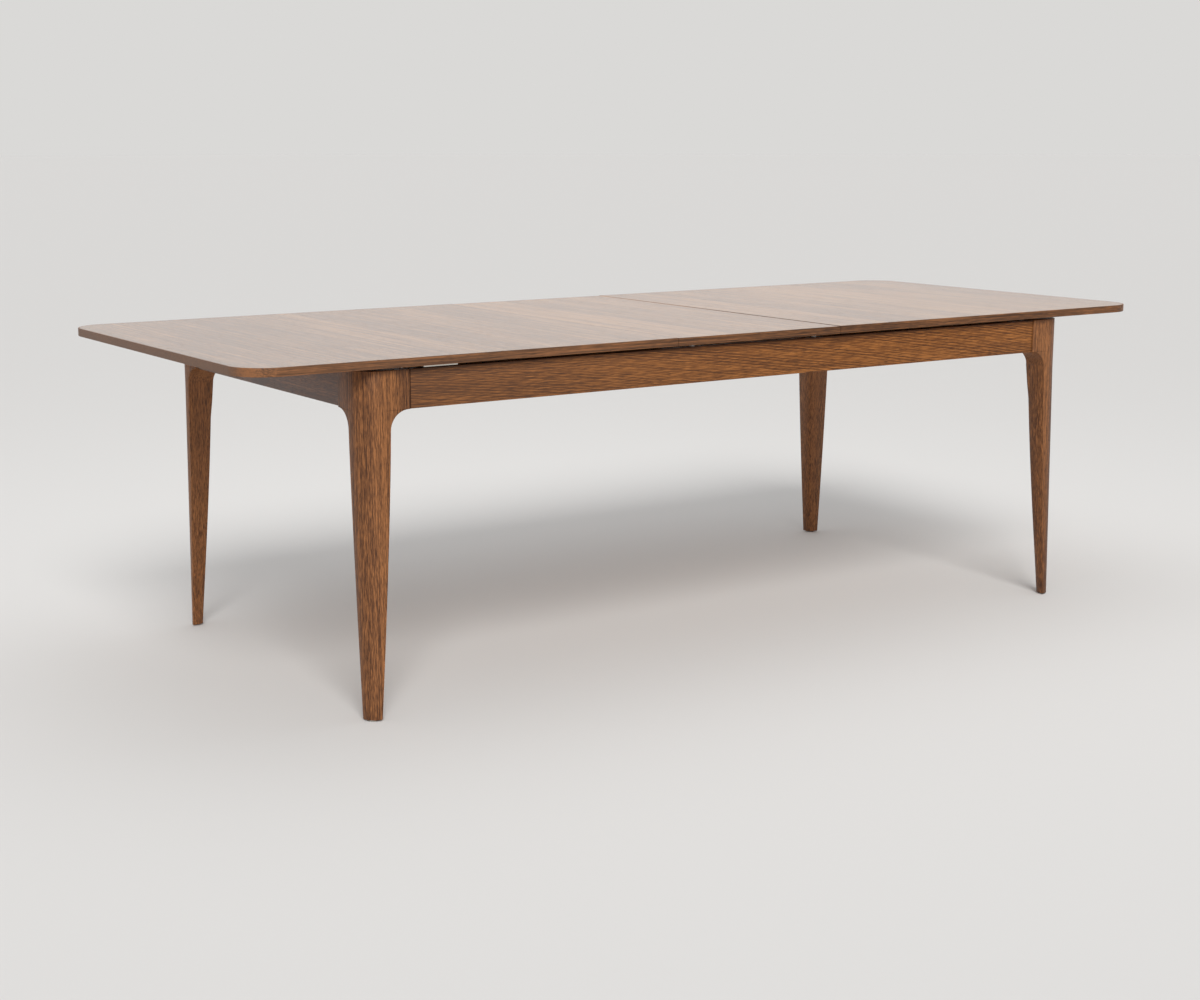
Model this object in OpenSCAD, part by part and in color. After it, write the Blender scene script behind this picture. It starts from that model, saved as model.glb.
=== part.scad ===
// Extendable dining table, shown extended with its loose leaf in place.
// Origin: centre of the footprint on the floor. X runs along the table, Y across it, Z up.
// The front of the table is on the -Y side.

/* [Table top] */
// Length of the top with the leaf in
top_len = 2500; // [2300:10:2700]
// Width of the top
top_w = 1000; // [980:5:1100]
// Thickness of the top and of the leaf
top_t = 18; // [16:1:30]
// Height of the table
table_h = 745; // [700:5:780]
// Radius of the four corners of the top, seen from above
corner_r = 80; // [20:1:120]
// Width of the leaf, along the table
leaf_w = 465; // [420:5:500]
// Thickness of the solid wood lipping on the edges
lipping_t = 3; // [2:0.5:8]
// Gap between the leaf and each half of the top
seam_gap = 0.4; // [0.3:0.1:1]

/* [Frame] */
// Distance of the legs behind each end of the top
end_overhang = 255; // [200:5:270]
// Distance of the legs behind each long edge of the top
side_overhang = 17; // [15:1:60]
// Clear gap between the frame and the underside of the top
top_gap = 7; // [5:0.5:12]
// Height of the aprons
apron_h = 80; // [78:1:110]
// Thickness of the aprons
apron_t = 22; // [20:1:26]
// Setback of the long aprons behind the legs
long_set = 2; // [0:0.5:8]
// Setback of the end aprons behind the legs
end_set = 7; // [5:1:20]

/* [Legs] */
// Width of a leg under its ears
leg_w = 63; // [56:1:70]
// Width of a leg at the floor
leg_foot_w = 30; // [26:1:50]
// Radius of the outer corner of a leg at the top
leg_r = 52; // [20:1:54]
// Radius of the outer corner of a leg at the floor
leg_foot_r = 28; // [15:1:30]
// Radius of the inner corner of a leg below its ears
leg_inner_r = 16; // [4:1:20]
// How sharply the taper grows towards the foot, 1 is straight
leg_swell = 1.27; // [1:0.01:1.6]
// Length of each ear beside the leg
ear_len = 44; // [40:1:60]
// Radius under each ear
ear_r = 42; // [20:1:44]

/* [Foot glides] */
// Radius of a foot glide
glide_r = 9; // [7:0.5:11]
// Height of a foot glide
glide_h = 3; // [3:0.5:8]
// Radius of the nail of a foot glide
glide_nail_r = 1.5; // [1:0.1:2.5]
// Length of the nail of a foot glide
glide_nail_len = 16; // [10:1:25]

/* [Corner braces] */
// Thickness of a corner brace
brace_t = 30; // [24:1:36]
// Height of a corner brace
brace_h = 38; // [30:1:39]
// Height of the braces and cross rails above the lower edge of the aprons
brace_lift = 3; // [1:0.5:4]
// Radius of a hanger bolt
bolt_r = 4; // [3:0.5:5]
// Depth of a hanger bolt in the leg
bolt_in = 40; // [25:1:50]
// Length of a hanger bolt past its nut
bolt_tail = 4; // [2:0.5:8]
// Radius of a washer
washer_r = 11; // [9:0.5:14]
// Thickness of a washer
washer_t = 2; // [1:0.5:3]
// Radius over the corners of a nut
nut_r = 7.5; // [7:0.5:9]
// Thickness of a nut
nut_t = 6.5; // [5:0.5:8]

/* [Guide rails] */
// Thickness of a guide rail
rail_t = 20; // [18:1:26]
// Height of a guide rail
rail_h = 35; // [32:1:36]
// Height of the groove in a guide rail
groove_h = 8.6; // [6.6:0.1:9.6]
// Depth of the groove in a guide rail
groove_d = 10; // [6:0.5:12]
// Free length at each end of a guide rail
rail_end = 6; // [2:1:20]

/* [Runners] */
// Width of a runner under the top
runner_w = 30; // [26:1:36]
// Clear length between a runner and the leg when its half is slid right out
runner_end = 4; // [2:1:40]
// Clearance of the runner over the cross rails and braces
runner_lift = 4; // [2:0.5:6]
// Distance from the seam to the inner end of a runner
runner_in = 10; // [6:1:20]
// Running clearance beside a runner and around its tongue
run_clear = 0.3; // [0.3:0.05:0.6]
// How far each half of the top slides out to free the leaf
slide_out = 40; // [20:1:42]
// Radius of a stop pin
stop_r = 5; // [4:0.5:6]
// Distance from the inner end of a runner to its stop pin
stop_in = 25; // [15:1:40]
// Depth of a stop pin in its runner
stop_sink = 20; // [12:1:24]
// How far a stop pin reaches down beside the cross rail
stop_reach = 12; // [6:1:16]
// Distance left at the stop when a half is slid right out
stop_clear = 0.5; // [0.3:0.1:1]

/* [Cross pieces] */
// Thickness of a cross rail of the frame
cross_t = 22; // [18:1:30]
// Height of a cross rail of the frame
cross_h = 35; // [30:1:36]
// Width of a batten under the top or the leaf
batten_w = 40; // [30:1:60]
// Thickness of a batten under the top or the leaf
batten_t = 18; // [15:1:18]
// Distance from the inner end of a runner to its cross batten
batten_in = 350; // [300:5:400]
// Distance from the edge of the leaf to the end of its battens
leaf_batten_in = 40; // [35:1:70]
// Distance of the leaf battens from the middle of the leaf
leaf_batten_y = 280; // [200:5:320]

/* [Leaf rests] */
// Distance of the leaf rests from the seams
rest_in = 57; // [40:1:90]
// Radius of the head of a leaf rest
rest_r = 7; // [6:0.5:9]
// Radius of the sleeve of a leaf rest
sleeve_r = 5.5; // [5:0.1:6]
// Depth of the sleeve of a leaf rest in the apron
sleeve_in = 14; // [10:1:20]
// Radius of a leaf peg
peg_r = 4; // [3:0.1:4.3]
// Clearance around a leaf peg
peg_clear = 0.4; // [0.3:0.05:0.6]
// Depth of a leaf peg in the leaf
peg_in = 10; // [6:1:12]
// How far a leaf peg reaches under the leaf
peg_len = 16; // [10:1:16]

/* [Metal strips] */
// Length of the metal strip under each half
strip_len = 93; // [60:1:120]
// Width of the metal strip
strip_w = 20; // [15:1:24]
// Thickness of the metal strip
strip_t = 4.5; // [3:0.5:5]
// Distance from the outer end of the strip to the leg's ear
strip_end = 21; // [10:1:60]
// Distance of the strip behind the long edge of the top
strip_set = 14; // [6:1:20]

/* [Fasteners] */
// Radius of a dowel
dowel_r = 4; // [3:0.5:5]
// Length of a dowel
dowel_len = 36; // [28:1:36]
// Glue clearance around dowels and screws
glue_gap = 0.1; // [0.05:0.05:0.2]
// Radius of a wood screw
screw_r = 2; // [1.5:0.1:2.3]
// Radius of the head of a wood screw
screw_head_r = 4; // [3.5:0.1:4.3]
// Depth of the screws in the wood that they hold to
screw_bite = 11; // [8:0.5:12]

/* [Hidden] */

$fn = 64;
// Extra length of a cut past the face that it opens
cut = 1;
// Number of levels that shape a leg
leg_levels = 8;
// Thickness of the slices that a leg's shape is stretched over
slice_t = 0.01;
// Height over which the inner corner of a leg grows round
inner_run = 80;
// Height of the countersunk head of a screw
head_h = screw_head_r - screw_r;
// Radius and length of the small screws of the metal strips
strip_screw_r = 1.5;
strip_head_r = 3;
strip_bite = 9;
// Inset of the two screws from the ends of a metal strip
strip_screw_in = 16;

// Size over the legs
frame_len = top_len - 2 * end_overhang;
frame_w = top_w - 2 * side_overhang;

// Heights
under_top = table_h - top_t;
frame_top = under_top - top_gap;
apron_low = frame_top - apron_h;
brace_low = apron_low + brace_lift;
rail_low = frame_top - rail_h;
groove_z = frame_top - rail_h / 2;
runner_low = max(brace_low + brace_h, brace_low + cross_h) + runner_lift;
shaft_top = apron_low - ear_r;
knee_z = shaft_top - inner_run;
cross_top = brace_low + cross_h;
bolt_z = brace_low + brace_h / 2;
dowel_low_z = apron_low + apron_h * 0.25;
dowel_high_z = apron_low + apron_h * 0.75;

// Places measured from the outer corner of a leg, inwards
block = leg_w + ear_len;
long_in = long_set + apron_t;
end_in = end_set + apron_t;
long_mid = long_set + apron_t / 2;
end_mid = end_set + apron_t / 2;
brace_near = block + leg_w;
brace_far = brace_near + brace_t * sqrt(2);
// Distance along the bolt from the inner corner of the leg to the near face of the brace
bolt_gap = (brace_near - 2 * leg_w) / sqrt(2);
bolt_out = bolt_gap + brace_t;
// Place of the screws at the two ends of a brace
brace_screw_in = 8;
brace_seat = 16;

// Places measured from the middle of the table
seam_x = leaf_w / 2 + seam_gap / 2;
apron_y = frame_w / 2 - long_in;
apron_mid_y = frame_w / 2 - long_mid;
rail_y = apron_y - rail_t;
rail_half = frame_len / 2 - block - rail_end;
runner_x = leaf_w / 2 + runner_in;
runner_len = frame_len / 2 - block - runner_end - slide_out - runner_x;
runner_y = rail_y - run_clear - runner_w;
tongue_h = groove_h - 2 * run_clear;
tongue_w = groove_d - 2 * run_clear;
stop_x = runner_x + stop_in;
cross_x = stop_x + stop_r + slide_out + stop_clear;
batten_x = runner_x + batten_in;
strip_x = frame_len / 2 - block - strip_end - strip_len;
rest_x = leaf_w / 2 - rest_in;
leaf_batten_len = leaf_w - 2 * leaf_batten_in;

// Centres of the rounded corners of the top
corner_x = top_len / 2 - corner_r;
corner_y = top_w / 2 - corner_r;

// Places of the screws
runner_screw_x = [for (i = [0:3]) runner_x + runner_len * (0.1 + 0.27 * i)];
batten_screw_y = [for (i = [-1.5:1:1.5]) i * runner_y * 0.55];
rail_screw_x = [for (i = [-2:2]) i * rail_half * 0.48];
leaf_screw_x = [for (i = [-1:1]) i * leaf_batten_len * 0.4];
rail_screw_z = rail_low + (rail_h - groove_h) / 4;

// Width and corner radii of a leg at height z
function leg_drop(z) = z >= shaft_top ? 0 : (shaft_top - z) / (shaft_top - glide_h);
function leg_w_at(z) = leg_w - (leg_w - leg_foot_w) * pow(leg_drop(z), leg_swell);
function leg_r_at(z) = min(leg_w_at(z) - 1, leg_r - (leg_r - leg_foot_r) * leg_drop(z));
function leg_inner_r_at(z) =
  z >= shaft_top ? 0 : min(leg_inner_r * min(1, (shaft_top - z) / inner_run), leg_w_at(z) / 2);

wood = "sienna";
inner_wood = "burlywood";
top_wood = "tan";
steel = "silver";
plastic = "gray";

// Draws its children at one corner, which is drawn as the front left one
module at_corner(right, back) {
  mirror([right ? 1 : 0, 0, 0])
    mirror([0, back ? 1 : 0, 0])
      translate([-frame_len / 2, -frame_w / 2, 0])
        children();
}

module at_all_corners() {
  for (right = [false, true])
    for (back = [false, true])
      at_corner(right, back)
        children();
}

// Draws its children on the right half, or turned round to the left half
module on_half(left) {
  rotate([0, 0, left ? 180 : 0])
    children();
}

module rounded_corner_square(w, d, r) {
  difference() {
    square([w, d]);
    difference() {
      translate([-cut, -cut])
        square(r + cut);
      translate([r, r])
        circle(r);
    }
  }
}

// Countersunk screw with its head at the origin, pointing up
module wood_screw(len, r, head_r, gap) {
  cylinder(h = head_r - r, r1 = head_r + gap, r2 = r + gap);
  cylinder(h = len + gap, r = r + gap);
}

module frame_screw(len, gap) {
  wood_screw(len, screw_r, screw_head_r, gap);
}

module dowel(gap) {
  cylinder(h = dowel_len + 2 * gap, r = dowel_r + gap, center = true);
}

// Joints between a leg and its two aprons, at the front left corner
module corner_dowels(gap) {
  for (z = [dowel_low_z, dowel_high_z]) {
    translate([block, long_mid, z])
      rotate([0, 90, 0])
        dowel(gap);
    translate([end_mid, block, z])
      rotate([90, 0, 0])
        dowel(gap);
  }
}

// Joints between the long aprons and the cross rails
module cross_dowels(gap) {
  for (sx = [-1, 1])
    for (sy = [-1, 1])
      for (z = [0.28, 0.72])
        translate([
          sx * (cross_x + cross_t / 2),
          sy * (apron_mid_y - dowel_len / 2 + apron_t / 4),
          brace_low + cross_h * z
        ])
          rotate([90, 0, 0])
            dowel(gap);
}

module bolt_line() {
  translate([leg_w, leg_w, bolt_z])
    rotate([0, 0, 45])
      rotate([0, 90, 0])
        children();
}

module bolt_hole() {
  bolt_line()
    translate([0, 0, -bolt_in - glue_gap])
      cylinder(h = bolt_in + bolt_out + 2 * cut, r = bolt_r + glue_gap);
}

// Screws that hold one brace to its two aprons
module corner_screws(gap) {
  translate([brace_near - long_in + brace_screw_in, long_in + brace_seat, bolt_z])
    rotate([90, 0, 0])
      frame_screw(brace_seat + screw_bite, gap);
  translate([end_in + brace_seat, brace_near - end_in + brace_screw_in, bolt_z])
    rotate([0, -90, 0])
      frame_screw(brace_seat + screw_bite, gap);
}

// Counterbores that let those screws in from the open side of the brace
module corner_screw_wells() {
  translate([brace_near - long_in + brace_screw_in, long_in + brace_seat - cut / 10, bolt_z])
    rotate([-90, 0, 0])
      cylinder(h = brace_t * 2, r = screw_head_r + glue_gap);
  translate([end_in + brace_seat - cut / 10, brace_near - end_in + brace_screw_in, bolt_z])
    rotate([0, 90, 0])
      cylinder(h = brace_t * 2, r = screw_head_r + glue_gap);
}

module rail_screws(gap) {
  for (sy = [-1, 1])
    for (x = rail_screw_x)
      translate([x, sy * rail_y, rail_screw_z])
        rotate([-sy * 90, 0, 0])
          frame_screw(rail_t + screw_bite, gap);
}

// Square with a large round outer corner and a round inner corner
module leg_section(w, r, inner_r) {
  difference() {
    rounded_corner_square(w, w, r);
    if (inner_r > 0)
      translate([w - inner_r, w - inner_r])
        difference() {
          square(inner_r + cut);
          circle(inner_r);
        }
  }
}

module leg_slice(z) {
  translate([0, 0, z])
    linear_extrude(slice_t)
      leg_section(leg_w_at(z), leg_r_at(z), leg_inner_r_at(z), $fn = 48);
}

// Space under one ear, which leaves a round corner beside the leg
module ear_blank() {
  difference() {
    translate([leg_w - cut, 0, shaft_top])
      cube([ear_r + cut, leg_w, ear_r + cut]);
    translate([leg_w + ear_r, -cut, shaft_top])
      rotate([-90, 0, 0])
        cylinder(h = leg_w + 2 * cut, r = ear_r);
  }
}

module leg() {
  difference() {
    union() {
      hull() {
        leg_slice(apron_low - slice_t);
        leg_slice(shaft_top);
        leg_slice(knee_z);
      }
      hull()
        for (i = [0:leg_levels - 1])
          leg_slice(glide_h + (knee_z - glide_h) * i / (leg_levels - 1));
      translate([0, 0, apron_low])
        linear_extrude(apron_h)
          union() {
            rounded_corner_square(block, leg_w, leg_r);
            rounded_corner_square(leg_w, block, leg_r);
          }
      ear_blank();
      mirror([1, -1, 0])
        ear_blank();
    }
    corner_dowels(glue_gap);
    bolt_hole();
    translate([leg_foot_w / 2, leg_foot_w / 2, -cut])
      cylinder(h = glide_h + glide_nail_len + cut, r = glide_nail_r + glue_gap);
  }
}

module long_apron(back) {
  mirror([0, back ? 1 : 0, 0])
    difference() {
      translate([block - frame_len / 2, long_set - frame_w / 2, apron_low])
        cube([frame_len - 2 * block, apron_t, apron_h]);
      for (right = [false, true]) {
        at_corner(right, false)
          corner_dowels(glue_gap);
        at_corner(right, false)
          corner_screws(glue_gap);
      }
      cross_dowels(glue_gap);
      rail_screws(glue_gap);
      for (sx = [-1, 1])
        translate([sx * rest_x, -apron_mid_y, frame_top - sleeve_in - glue_gap])
          cylinder(h = sleeve_in + cut, r = sleeve_r + glue_gap);
    }
}

module end_apron(right) {
  mirror([right ? 1 : 0, 0, 0])
    difference() {
      translate([end_set - frame_len / 2, block - frame_w / 2, apron_low])
        cube([apron_t, frame_w - 2 * block, apron_h]);
      for (back = [false, true]) {
        at_corner(false, back)
          corner_dowels(glue_gap);
        at_corner(false, back)
          corner_screws(glue_gap);
      }
    }
}

module brace() {
  difference() {
    translate([0, 0, brace_low])
      linear_extrude(brace_h)
        polygon([
          [end_in, brace_near - end_in],
          [end_in, brace_far - end_in],
          [brace_far - long_in, long_in],
          [brace_near - long_in, long_in]
        ]);
    bolt_hole();
    corner_screws(glue_gap);
    corner_screw_wells();
  }
}

module guide_rail(back) {
  mirror([0, back ? 1 : 0, 0])
    difference() {
      translate([-rail_half, -apron_y, rail_low])
        cube([2 * rail_half, rail_t, rail_h]);
      translate([-rail_half - cut, -rail_y - groove_d, groove_z - groove_h / 2])
        cube([2 * (rail_half + cut), groove_d + cut, groove_h]);
      rail_screws(glue_gap);
    }
}

module cross_rail(left) {
  mirror([left ? 1 : 0, 0, 0])
    difference() {
      translate([cross_x, -apron_y, brace_low])
        cube([cross_t, 2 * apron_y, cross_h]);
      cross_dowels(glue_gap);
    }
}

// Outline of the right half of the top, drawn smaller all round by inset d
module half_outline(d) {
  difference() {
    translate([seam_x, d - top_w / 2])
      square([top_len / 2 - seam_x - d, top_w - 2 * d]);
    for (side = [0, 1])
      mirror([0, side])
        translate([corner_x, corner_y])
          difference() {
            square(corner_r + cut);
            circle(corner_r - d, $fn = 128);
          }
  }
}

module runner_screws(gap) {
  for (x = runner_screw_x)
    for (sy = [-1, 1])
      translate([x, sy * (runner_y + runner_w / 2), runner_low])
        frame_screw(under_top - runner_low + screw_bite, gap);
}

module batten_screws(gap) {
  for (y = batten_screw_y)
    translate([batten_x + batten_w / 2, y, under_top - batten_t])
      frame_screw(batten_t + screw_bite, gap);
}

module strip_screws(gap) {
  for (x = [strip_screw_in, strip_len - strip_screw_in])
    translate([strip_x + x, top_w / 2 - strip_set - strip_w / 2, under_top - strip_t])
      wood_screw(strip_t + strip_bite, strip_screw_r, strip_head_r, gap);
}

module stop_pins(gap) {
  for (sy = [-1, 1])
    translate([stop_x, sy * (runner_y + runner_w / 2), cross_top - stop_reach])
      cylinder(h = runner_low + stop_sink + gap - cross_top + stop_reach, r = stop_r + gap);
}

module half_panel() {
  difference() {
    translate([0, 0, under_top])
      linear_extrude(top_t)
        half_outline(lipping_t);
    runner_screws(glue_gap);
    batten_screws(glue_gap);
    strip_screws(glue_gap);
  }
}

module half_lipping() {
  translate([0, 0, under_top])
    linear_extrude(top_t)
      difference() {
        half_outline(0);
        half_outline(lipping_t);
      }
}

// Runner of the right half, on the back side or mirrored to the front side
module runner(front) {
  mirror([0, front ? 1 : 0, 0])
    difference() {
      union() {
        translate([runner_x, runner_y, runner_low])
          cube([runner_len, runner_w, under_top - runner_low]);
        translate([runner_x, runner_y, groove_z - tongue_h / 2])
          cube([runner_len, runner_w + run_clear + tongue_w, tongue_h]);
      }
      runner_screws(glue_gap);
      stop_pins(glue_gap);
    }
}

module half_batten() {
  difference() {
    translate([batten_x, -runner_y, under_top - batten_t])
      cube([batten_w, 2 * runner_y, batten_t]);
    batten_screws(glue_gap);
  }
}

// Metal strip under the half, on the back long side of the right half
module half_strip() {
  difference() {
    translate([strip_x, top_w / 2 - strip_set - strip_w, under_top - strip_t])
      cube([strip_len, strip_w, strip_t]);
    strip_screws(glue_gap);
  }
}

module leaf_screws(gap) {
  for (x = leaf_screw_x)
    for (sy = [-1, 1])
      translate([x, sy * leaf_batten_y, under_top - batten_t])
        frame_screw(batten_t + screw_bite, gap);
}

module pegs(gap) {
  for (sx = [-1, 1])
    for (sy = [-1, 1])
      translate([sx * rest_x, sy * apron_mid_y, under_top - peg_len])
        cylinder(h = peg_len + peg_in + gap, r = peg_r + gap);
}

module leaf_batten(front) {
  mirror([0, front ? 1 : 0, 0])
    difference() {
      translate([-leaf_batten_len / 2, leaf_batten_y - batten_w / 2, under_top - batten_t])
        cube([leaf_batten_len, batten_w, batten_t]);
      leaf_screws(glue_gap);
    }
}

module front_left_leg() {
  color(wood)
    at_corner(false, false)
      leg();
}

module front_right_leg() {
  color(wood)
    at_corner(true, false)
      leg();
}

module back_left_leg() {
  color(wood)
    at_corner(false, true)
      leg();
}

module back_right_leg() {
  color(wood)
    at_corner(true, true)
      leg();
}

module front_apron() {
  color(wood)
    long_apron(false);
}

module back_apron() {
  color(wood)
    long_apron(true);
}

module left_apron() {
  color(wood)
    end_apron(false);
}

module right_apron() {
  color(wood)
    end_apron(true);
}

module front_left_brace() {
  color(inner_wood)
    at_corner(false, false)
      brace();
}

module front_right_brace() {
  color(inner_wood)
    at_corner(true, false)
      brace();
}

module back_left_brace() {
  color(inner_wood)
    at_corner(false, true)
      brace();
}

module back_right_brace() {
  color(inner_wood)
    at_corner(true, true)
      brace();
}

module front_guide_rail() {
  color(inner_wood)
    guide_rail(false);
}

module back_guide_rail() {
  color(inner_wood)
    guide_rail(true);
}

module left_cross_rail() {
  color(inner_wood)
    cross_rail(true);
}

module right_cross_rail() {
  color(inner_wood)
    cross_rail(false);
}

// Nylon rests that carry the leaf on the long aprons and take its pegs
module leaf_rests() {
  color(plastic)
    for (sx = [-1, 1])
      for (sy = [-1, 1])
        translate([sx * rest_x, sy * apron_mid_y, 0])
          difference() {
            union() {
              translate([0, 0, frame_top])
                cylinder(h = top_gap, r = rest_r);
              translate([0, 0, frame_top - sleeve_in])
                cylinder(h = sleeve_in + cut, r = sleeve_r);
            }
            translate([0, 0, frame_top - sleeve_in - cut])
              cylinder(h = sleeve_in + top_gap + 2 * cut, r = peg_r + peg_clear);
          }
}

module foot_glides() {
  color(plastic)
    at_all_corners()
      translate([leg_foot_w / 2, leg_foot_w / 2, 0]) {
        cylinder(h = glide_h, r = glide_r);
        cylinder(h = glide_h + glide_nail_len - glue_gap, r = glide_nail_r);
      }
}

module hanger_bolts() {
  color(steel)
    at_all_corners()
      bolt_line()
        translate([0, 0, -bolt_in])
          cylinder(h = bolt_in + bolt_out + washer_t + nut_t + bolt_tail, r = bolt_r);
}

module bolt_washers() {
  color(steel)
    at_all_corners()
      bolt_line()
        translate([0, 0, bolt_out])
          difference() {
            cylinder(h = washer_t, r = washer_r);
            translate([0, 0, -cut])
              cylinder(h = washer_t + 2 * cut, r = bolt_r + glue_gap);
          }
}

module bolt_nuts() {
  color(steel)
    at_all_corners()
      bolt_line()
        translate([0, 0, bolt_out + washer_t])
          difference() {
            cylinder(h = nut_t, r = nut_r, $fn = 6);
            translate([0, 0, -cut])
              cylinder(h = nut_t + 2 * cut, r = bolt_r + glue_gap);
          }
}

module frame_dowels() {
  color(inner_wood) {
    at_all_corners()
      corner_dowels(0);
    cross_dowels(0);
  }
}

module brace_screws() {
  color(steel)
    at_all_corners()
      corner_screws(0);
}

module guide_rail_screws() {
  color(steel)
    rail_screws(0);
}

module left_panel() {
  color(top_wood)
    on_half(true)
      half_panel();
}

module left_lipping() {
  color(wood)
    on_half(true)
      half_lipping();
}

module left_front_runner() {
  color(inner_wood)
    on_half(true)
      runner(false);
}

module left_back_runner() {
  color(inner_wood)
    on_half(true)
      runner(true);
}

module left_batten() {
  color(inner_wood)
    on_half(true)
      half_batten();
}

module left_strip() {
  color(steel)
    on_half(true)
      half_strip();
}

module left_stop_pins() {
  color(steel)
    on_half(true)
      stop_pins(0);
}

module left_runner_screws() {
  color(steel)
    on_half(true)
      runner_screws(0);
}

module left_batten_screws() {
  color(steel)
    on_half(true)
      batten_screws(0);
}

module left_strip_screws() {
  color(steel)
    on_half(true)
      strip_screws(0);
}

module right_panel() {
  color(top_wood)
    on_half(false)
      half_panel();
}

module right_lipping() {
  color(wood)
    on_half(false)
      half_lipping();
}

module right_front_runner() {
  color(inner_wood)
    on_half(false)
      runner(true);
}

module right_back_runner() {
  color(inner_wood)
    on_half(false)
      runner(false);
}

module right_batten() {
  color(inner_wood)
    on_half(false)
      half_batten();
}

module right_strip() {
  color(steel)
    on_half(false)
      half_strip();
}

module right_stop_pins() {
  color(steel)
    on_half(false)
      stop_pins(0);
}

module right_runner_screws() {
  color(steel)
    on_half(false)
      runner_screws(0);
}

module right_batten_screws() {
  color(steel)
    on_half(false)
      batten_screws(0);
}

module right_strip_screws() {
  color(steel)
    on_half(false)
      strip_screws(0);
}

module leaf_panel() {
  color(top_wood)
    difference() {
      translate([seam_gap / 2 - leaf_w / 2, lipping_t - top_w / 2, under_top])
        cube([leaf_w - seam_gap, top_w - 2 * lipping_t, top_t]);
      leaf_screws(glue_gap);
      pegs(glue_gap);
    }
}

module leaf_lippings() {
  color(wood)
    for (y = [-top_w / 2, top_w / 2 - lipping_t])
      translate([seam_gap / 2 - leaf_w / 2, y, under_top])
        cube([leaf_w - seam_gap, lipping_t, top_t]);
}

module leaf_front_batten() {
  color(inner_wood)
    leaf_batten(true);
}

module leaf_back_batten() {
  color(inner_wood)
    leaf_batten(false);
}

module leaf_pegs() {
  color(steel)
    pegs(0);
}

module leaf_batten_screws() {
  color(steel)
    leaf_screws(0);
}

front_left_leg();
front_right_leg();
back_left_leg();
back_right_leg();
front_apron();
back_apron();
left_apron();
right_apron();
front_left_brace();
front_right_brace();
back_left_brace();
back_right_brace();
front_guide_rail();
back_guide_rail();
left_cross_rail();
right_cross_rail();
leaf_rests();
foot_glides();
hanger_bolts();
bolt_washers();
bolt_nuts();
frame_dowels();
brace_screws();
guide_rail_screws();
left_panel();
left_lipping();
left_front_runner();
left_back_runner();
left_batten();
left_strip();
left_stop_pins();
left_runner_screws();
left_batten_screws();
left_strip_screws();
right_panel();
right_lipping();
right_front_runner();
right_back_runner();
right_batten();
right_strip();
right_stop_pins();
right_runner_screws();
right_batten_screws();
right_strip_screws();
leaf_panel();
leaf_lippings();
leaf_front_batten();
leaf_back_batten();
leaf_pegs();
leaf_batten_screws();
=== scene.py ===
"""Looks of the extendable dining table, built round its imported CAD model.

Lengths are in metres. X runs along the table, Y across it, Z up, and the front is on the
-Y side.
"""
import math

import bmesh
import bpy
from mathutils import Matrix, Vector


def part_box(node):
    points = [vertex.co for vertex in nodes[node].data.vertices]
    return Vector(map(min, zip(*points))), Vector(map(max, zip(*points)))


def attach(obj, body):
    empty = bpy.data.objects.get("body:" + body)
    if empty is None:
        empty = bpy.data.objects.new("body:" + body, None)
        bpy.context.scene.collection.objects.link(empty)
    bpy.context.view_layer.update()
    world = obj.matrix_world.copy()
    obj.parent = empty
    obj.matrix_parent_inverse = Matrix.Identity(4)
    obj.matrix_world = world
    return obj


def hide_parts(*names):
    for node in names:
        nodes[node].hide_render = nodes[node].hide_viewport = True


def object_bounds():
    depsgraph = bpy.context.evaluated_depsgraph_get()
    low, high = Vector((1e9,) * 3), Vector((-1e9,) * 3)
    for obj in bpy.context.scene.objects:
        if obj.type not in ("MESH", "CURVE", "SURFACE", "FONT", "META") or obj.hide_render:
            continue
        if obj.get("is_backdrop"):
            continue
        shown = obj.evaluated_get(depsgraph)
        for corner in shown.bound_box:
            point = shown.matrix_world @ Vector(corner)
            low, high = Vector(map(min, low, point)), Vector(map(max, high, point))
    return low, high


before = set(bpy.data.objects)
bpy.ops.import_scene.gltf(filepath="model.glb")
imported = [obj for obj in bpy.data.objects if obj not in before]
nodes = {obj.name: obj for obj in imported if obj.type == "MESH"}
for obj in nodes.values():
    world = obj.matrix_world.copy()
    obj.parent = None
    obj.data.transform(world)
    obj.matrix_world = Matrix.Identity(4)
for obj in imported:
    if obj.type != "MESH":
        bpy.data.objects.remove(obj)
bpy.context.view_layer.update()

# Places on the CAD model that the pieces and their finishes go by.
FRAME_HALF_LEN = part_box("back_right_leg")[1].x
FRAME_HALF_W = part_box("back_right_leg")[1].y
APRON_HALF_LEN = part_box("front_apron")[1].x
APRON_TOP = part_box("front_apron")[1].z
TOP_HALF_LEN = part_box("right_lipping")[1].x
TOP_HALF_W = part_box("right_lipping")[1].y
TOP_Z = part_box("right_panel")[1].z
SEAM_X = (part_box("leaf_panel")[1].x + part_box("right_panel")[0].x) / 2

SAME = 0.0001           # two places closer than this count as one
MERGE = 0.00002         # two points closer than this become one
LONG_EDGE = 0.012       # the edges round bores and screw holes are shorter than this
SHARP_EDGE = 40         # degrees that a board's edge turns through, at the least
ARRIS = 0.0012          # width of the eased edges on legs and aprons
FINE_ARRIS = 0.0008     # the same on the inner woodwork and the metal strips


# ---------------------------------------------------------------- workshop helpers

def put_down():
    """Leaves edit mode and deselects everything."""
    active = bpy.context.view_layer.objects.active
    if active is not None and active.mode != "OBJECT":
        bpy.ops.object.mode_set(mode="OBJECT")
    bpy.ops.object.select_all(action="DESELECT")


def take(piece):
    """Makes this piece the only one selected, and the active one."""
    put_down()
    piece.select_set(True)
    bpy.context.view_layer.objects.active = piece


def open_whole(piece):
    """Opens a piece in edit mode with all of it selected."""
    take(piece)
    bpy.ops.object.mode_set(mode="EDIT")
    bpy.ops.mesh.select_mode(type="VERT")
    bpy.ops.mesh.select_all(action="SELECT")


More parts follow.
